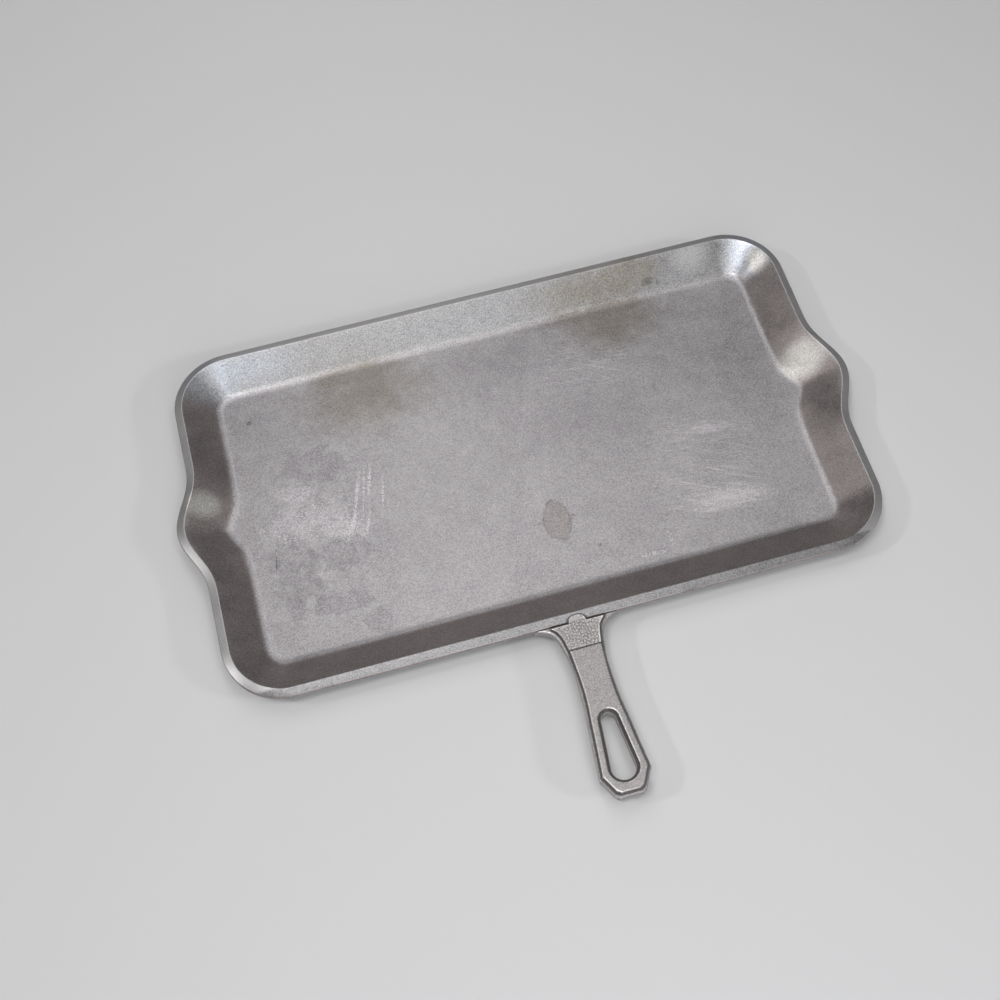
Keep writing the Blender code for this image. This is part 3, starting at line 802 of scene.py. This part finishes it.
def grip_metal():
    """The same alloy left as it came out of the sand: matt, speckled and dark with old grease in
    its hollows, its edges a little brighter. Its cross groove is darker, its sloping sides are
    painted dark as shade, and its left-facing edges carry a painted highlight."""
    made, tree, shader = new_finish("sand_cast_aluminium", GRIP_METALLIC)
    place = add(tree, "ShaderNodeTexCoord").outputs["Object"]
    _, along, height = add(tree, "ShaderNodeSeparateXYZ", {0: place}).outputs
    rightward, _, facing = add(tree, "ShaderNodeSeparateXYZ", {
        0: add(tree, "ShaderNodeNewGeometry").outputs["Normal"],
    }).outputs
    sand = noise(tree, place, SAND_SIZE)
    speckle = noise(tree, place, SAND_SPECKLE_SIZE, 3)
    patches = noise(tree, place, SAND_PATCH_SIZE, 3)
    hollow = attribute(tree, "hollow")
    panel = attribute(tree, "panel")
    on_face = fade(tree, height, PARTING_Z, PARTING_Z + 0.3 * MM)
    # Painted shade on the face's sloping sides.
    shaded_slope = times(tree, on_face, fade(tree, facing, 0.95, 0.72))
    off_groove = maths(tree, "ABSOLUTE", maths(tree, "SUBTRACT", along, GROOVE_Y))
    groove = times(tree, on_face, fade(tree, off_groove, 0.75 * MM, 0.4 * MM))
    edge = fade(tree, hollow, -0.12, -0.5)
    # Painted highlight along the left-facing edges.
    left_edge_highlight = times(tree, edge, fade(tree, rightward, 0.1, -0.2))

    level = varied(tree, 1, [(sand, 2.3), (speckle, 0.6), (patches, 0.3)])
    for bright, amount in ((edge, 0.1), (left_edge_highlight, 0.8), (panel, 0.3)):
        level = lifted(tree, level, bright, amount)
    # Old grease in the hollows, with painted shade on the sloping sides and a darker cross
    # groove.
    grease_and_shade = fade(tree, hollow, 0.15, 0.6)
    for dark in (times(tree, panel, 0.05), times(tree, shaded_slope, 0.75), groove):
        grease_and_shade = maths(tree, "MAXIMUM", grease_and_shade, dark)
    grease_and_shade = times(tree, grease_and_shade, maths(tree, "SUBTRACT", 1, left_edge_highlight),
                   varied(tree, 1, [(speckle, 0.8)]))
    gloss = varied(tree, 0.42, [(sand, 0.15), (patches, 0.1)])
    gloss = lifted(tree, gloss, grease_and_shade, 0.25)
    gloss = lifted(tree, gloss, left_edge_highlight, -0.15)
    finish_metal(tree, shader, blended(tree, GRIP_METAL, DARK_GREASE_AND_SHADE, grease_and_shade), level, gloss,
                 varied(tree, sand, [(speckle, 1)]), 0.35, 0.2 * MM)
    return made


handle = grown(softened("grip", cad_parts["handle"]), grip_tree(), {
    "Top": handle_high.z,
    "Panel End": GROOVE_Y,
    "Panel Sink": PANEL_SINK,
    "Pebble Gap": PEBBLE_GAP,
    "Pebble Radius": PEBBLE_RADIUS,
    "Pebble Rise": PEBBLE_RISE,
    "Pebble Squash": PEBBLE_SQUASH,
    "Smallest Pebble": SMALLEST_PEBBLE,
    "Pebbles Per Area": PEBBLES_PER_M2,
    "Panel Blur": PANEL_BLUR,
    "Hollow Blur": HOLLOW_BLUR,
    "Hollow Depth": HOLLOW_DEPTH,
    "Seed": PEBBLE_SEED,
    "Material": grip_metal(),
})
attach(handle, "root")
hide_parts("handle")

# The table, the lights and the camera
# A plain pale painted table top. Round soft lamps stand about it, two of them far off like
# windows, and the camera stands where the photograph was taken from.
TABLE_HALF_WIDTH = 3
TABLE_DROP = 0.05 * MM
TABLE_COLOUR = (0.618, 0.612, 0.616, 1)
TABLE_ROUGHNESS = 0.6


def table_top():
    made = bpy.data.meshes.new("table_top")
    work = bmesh.new()
    bmesh.ops.create_grid(work, x_segments=1, y_segments=1, size=TABLE_HALF_WIDTH)
    work.to_mesh(made)
    work.free()
    top = new_object("table_top", made)
    top.location.z = -TABLE_DROP
    paint, _, shader = new_finish("pale_paint", 0)
    shader.inputs["Base Color"].default_value = TABLE_COLOUR
    shader.inputs["Roughness"].default_value = TABLE_ROUGHNESS
    made.materials.append(paint)
    return top


table_top()

CAMERA_PLACE = (-0.1047, -0.4413, 0.8306)
CAMERA_TURN = (27.03, 1.93, -15.22)
CAMERA_LENS = 50.76
SENSOR_WIDTH = 36


def studio_camera():
    data = bpy.data.cameras.new("studio_camera")
    data.sensor_width = SENSOR_WIDTH
    data.lens = CAMERA_LENS
    camera = bpy.data.objects.new("studio_camera", data)
    camera.location = CAMERA_PLACE
    camera.rotation_euler = [math.radians(angle) for angle in CAMERA_TURN]
    bpy.context.scene.collection.objects.link(camera)
    bpy.context.scene.camera = camera


LAMP_DISTANCE = 1.4
WINDOW_DISTANCE = 4
WHITE = (1, 1, 1)
DAYLIGHT = (0.93, 0.965, 1)


def soft_light(name, azimuth, elevation, size, power, distance=LAMP_DISTANCE, colour=WHITE):
    """A round soft light that faces the pan. Azimuth runs from +X towards +Y, in degrees."""
    data = bpy.data.lights.new(name, "AREA")
    data.shape = "DISK"
    data.size = size
    data.energy = power
    data.color = colour
    lamp = bpy.data.objects.new(name, data)
    turn, rise = math.radians(azimuth), math.radians(elevation)
    lamp.location = distance * Vector((
        math.cos(turn) * math.cos(rise), math.sin(turn) * math.cos(rise), math.sin(rise)))
    lamp.rotation_mode = "QUATERNION"
    lamp.rotation_quaternion = (-lamp.location).to_track_quat("-Z", "Y")
    bpy.context.scene.collection.objects.link(lamp)


def plain_world(strength):
    world = bpy.data.worlds.new("studio")
    world.use_nodes = True
    world.node_tree.nodes["Background"].inputs["Color"].default_value = (1, 1, 1, 1)
    world.node_tree.nodes["Background"].inputs["Strength"].default_value = strength
    bpy.context.scene.world = world


studio_camera()
soft_light("left_window", 175, 40, size=0.24, power=22, distance=WINDOW_DISTANCE)
soft_light("right_window", -31, 27, size=0.4, power=27, distance=WINDOW_DISTANCE)
soft_light("near_window", 270, 18, size=0.8, power=3.2, colour=DAYLIGHT)
soft_light("near_light", 275, 47, size=0.8, power=3, colour=DAYLIGHT)
soft_light("ceiling", 0, 89, size=1.2, power=2.4)
soft_light("high_lamp", 90, 78, size=0.5, power=1)
soft_light("left_lamp", 215, 70, size=0.5, power=11, distance=2.4)
soft_light("camera_lamp", 252, 67, size=0.4, power=2)
soft_light("right_lamp", 300, 70, size=0.3, power=1.5)
soft_light("far_light", 90, 58, size=0.25, power=0.85)
soft_light("far_left_light", 140, 55, size=0.7, power=0.85)
soft_light("far_right_light", 40, 55, size=0.7, power=0.9)
soft_light("far_glow", 90, 28, size=0.5, power=1)
plain_world(0.03)
bpy.context.scene.view_settings.view_transform = "Standard"
